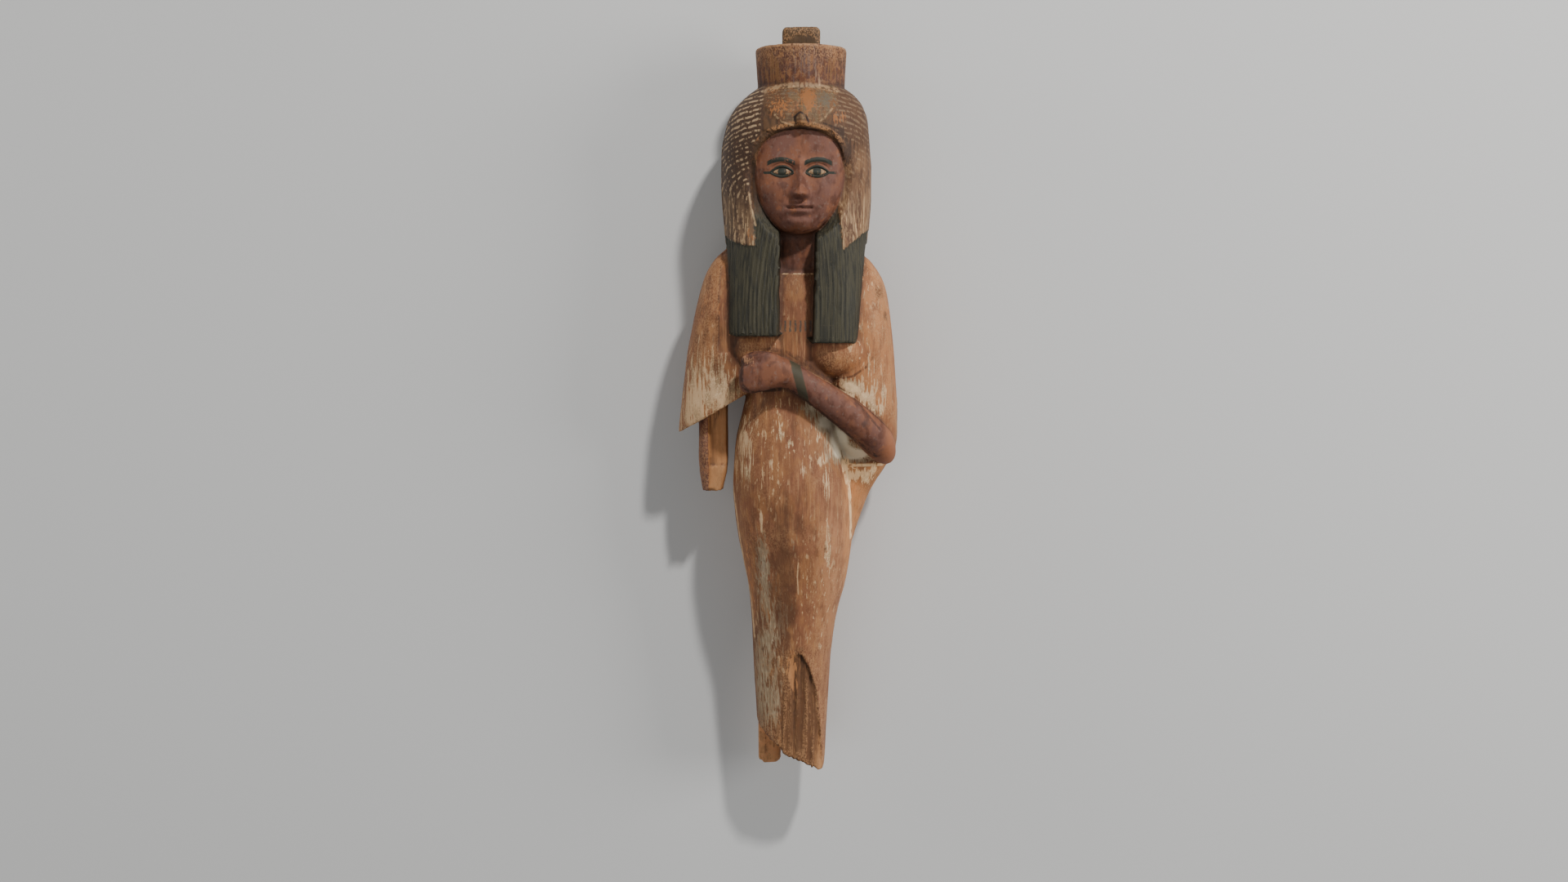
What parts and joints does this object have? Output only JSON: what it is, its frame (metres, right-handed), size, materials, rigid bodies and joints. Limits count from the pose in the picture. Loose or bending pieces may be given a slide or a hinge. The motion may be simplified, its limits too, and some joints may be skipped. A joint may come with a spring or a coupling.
{
  "type": "carved wooden queen statuette",
  "caption": "Slim carved and painted wooden figure of a queen in a long lappet wig and vulture cap, one arm across the chest, feet broken off.",
  "frame": {"origin": "under the middle of the figure, on the surface that it lies on", "axes": "+Y from the broken feet to the crown, +Z out of the face, +X to the viewer's right of the face"},
  "size_m": [0.1056, 0.3574, 0.0682],
  "materials": {
    "painted_wood": "aged wood with worn matte paint"
  },
  "bodies": {
    "root": {"queen_figure": "painted_wood"}
  },
  "joints": []
}
